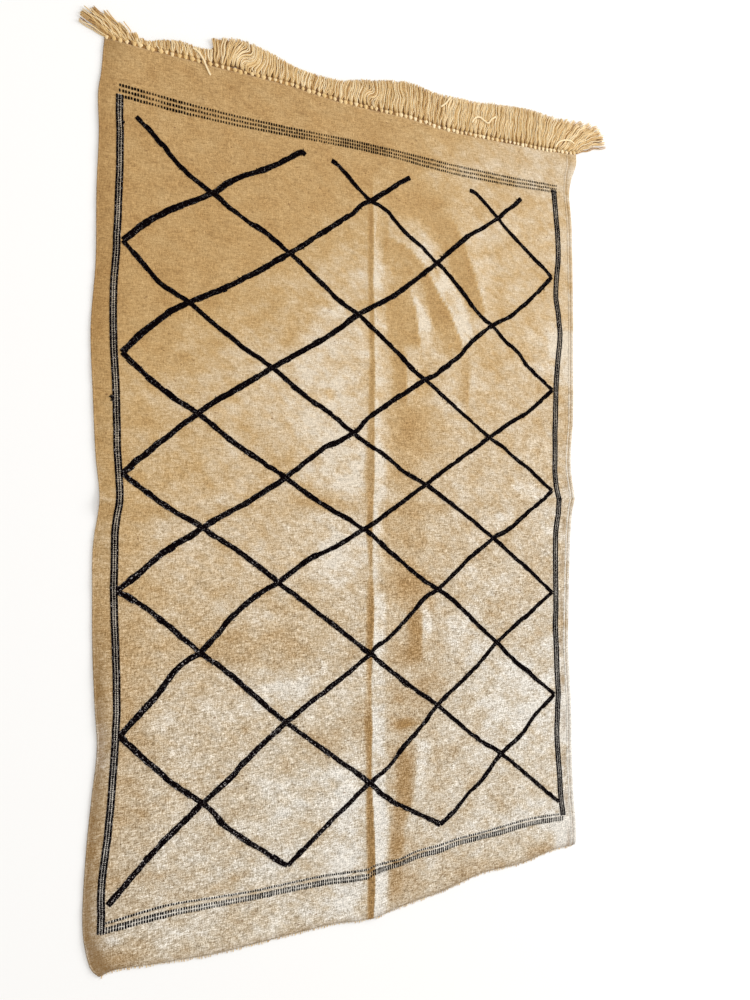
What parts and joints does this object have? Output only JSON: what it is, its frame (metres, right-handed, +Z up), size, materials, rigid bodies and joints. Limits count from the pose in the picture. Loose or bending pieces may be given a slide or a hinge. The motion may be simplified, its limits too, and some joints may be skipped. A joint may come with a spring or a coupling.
{
  "type": "moroccan kilim",
  "caption": "Flat-woven wool rug with an open diamond lattice, ladder bands at the sides and a knotted fringe at one end, lying flat with its storage creases.",
  "frame": {"origin": "on the floor, under the middle of the rug's bounding box", "axes": "+Y along the warps towards the tassel fringe, +X across the rug towards its right selvedge, +Z up, out of the patterned face"},
  "size_m": [1.7216, 2.5176, 0.012],
  "materials": {
    "ground_wool": "matte handspun wool in a plain weave, tan to cream, mottled",
    "fringe_yarn": "twisted undyed warp yarn, knotted",
    "dark_wool": "black wool pattern yarn, floated on the face"
  },
  "bodies": {
    "root": {"ground_cloth": "ground_wool", "warp_fringe": "fringe_yarn"}
  },
  "joints": []
}
